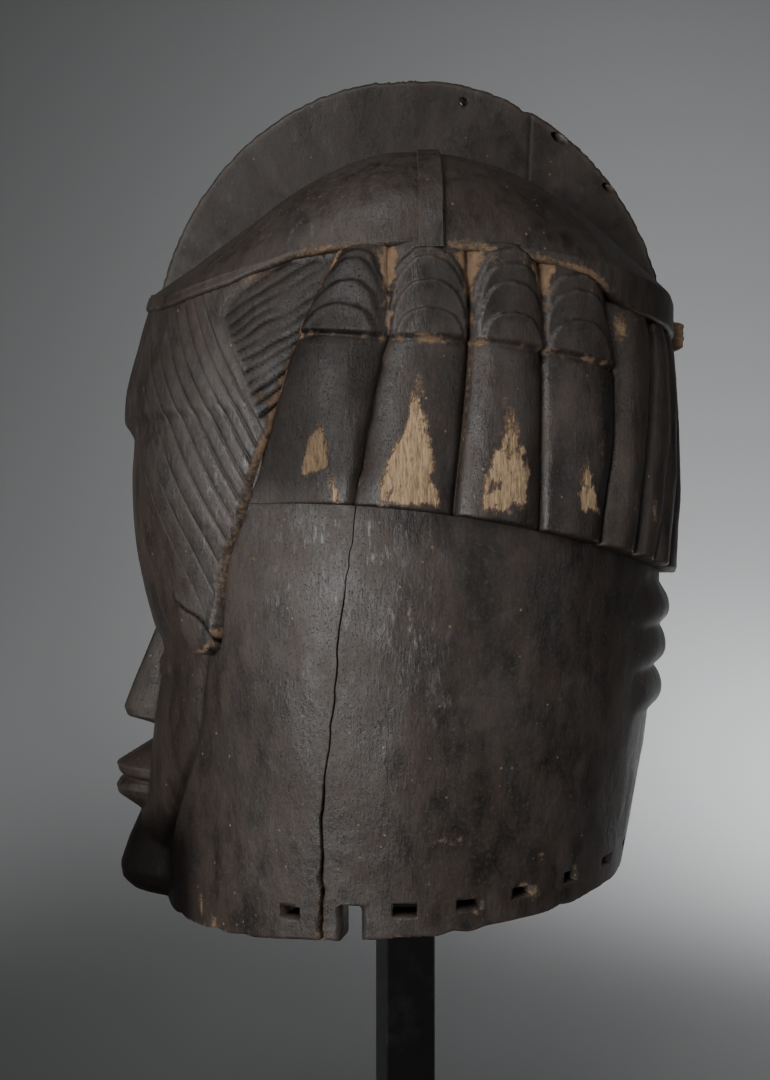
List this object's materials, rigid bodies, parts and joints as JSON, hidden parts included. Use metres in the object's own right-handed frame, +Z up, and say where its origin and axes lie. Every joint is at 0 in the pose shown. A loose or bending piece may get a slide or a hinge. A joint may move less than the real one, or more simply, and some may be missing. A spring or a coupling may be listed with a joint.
{
  "type": "carved helmet mask on a display stand",
  "caption": "Hollow carved wooden helmet mask with a tall crest, rolled hair and a small calm face, open below, held up by a square steel post on a flat square foot.",
  "frame": {"origin": "middle of the foot's underside, on the axis of the post", "axes": "+Z up along the post, -X the side that the face looks to, the two sides of the mask mirror across Y = 0"},
  "size_m": [0.288, 0.2634, 0.606],
  "materials": {
    "dark_wood": "hand carved, dark brown-black patina, worn and dusty",
    "peg_wood": "bare split wood, darkened by handling",
    "dark_felt": "felt cover over a block",
    "black_paint": "satin black powder coat"
  },
  "bodies": {
    "root": {"helmet_mask": "dark_wood", "back_peg": "peg_wood", "front_peg": "dark_wood", "support_block": "dark_felt", "stand_post": "black_paint", "stand_foot": "black_paint"}
  },
  "joints": []
}
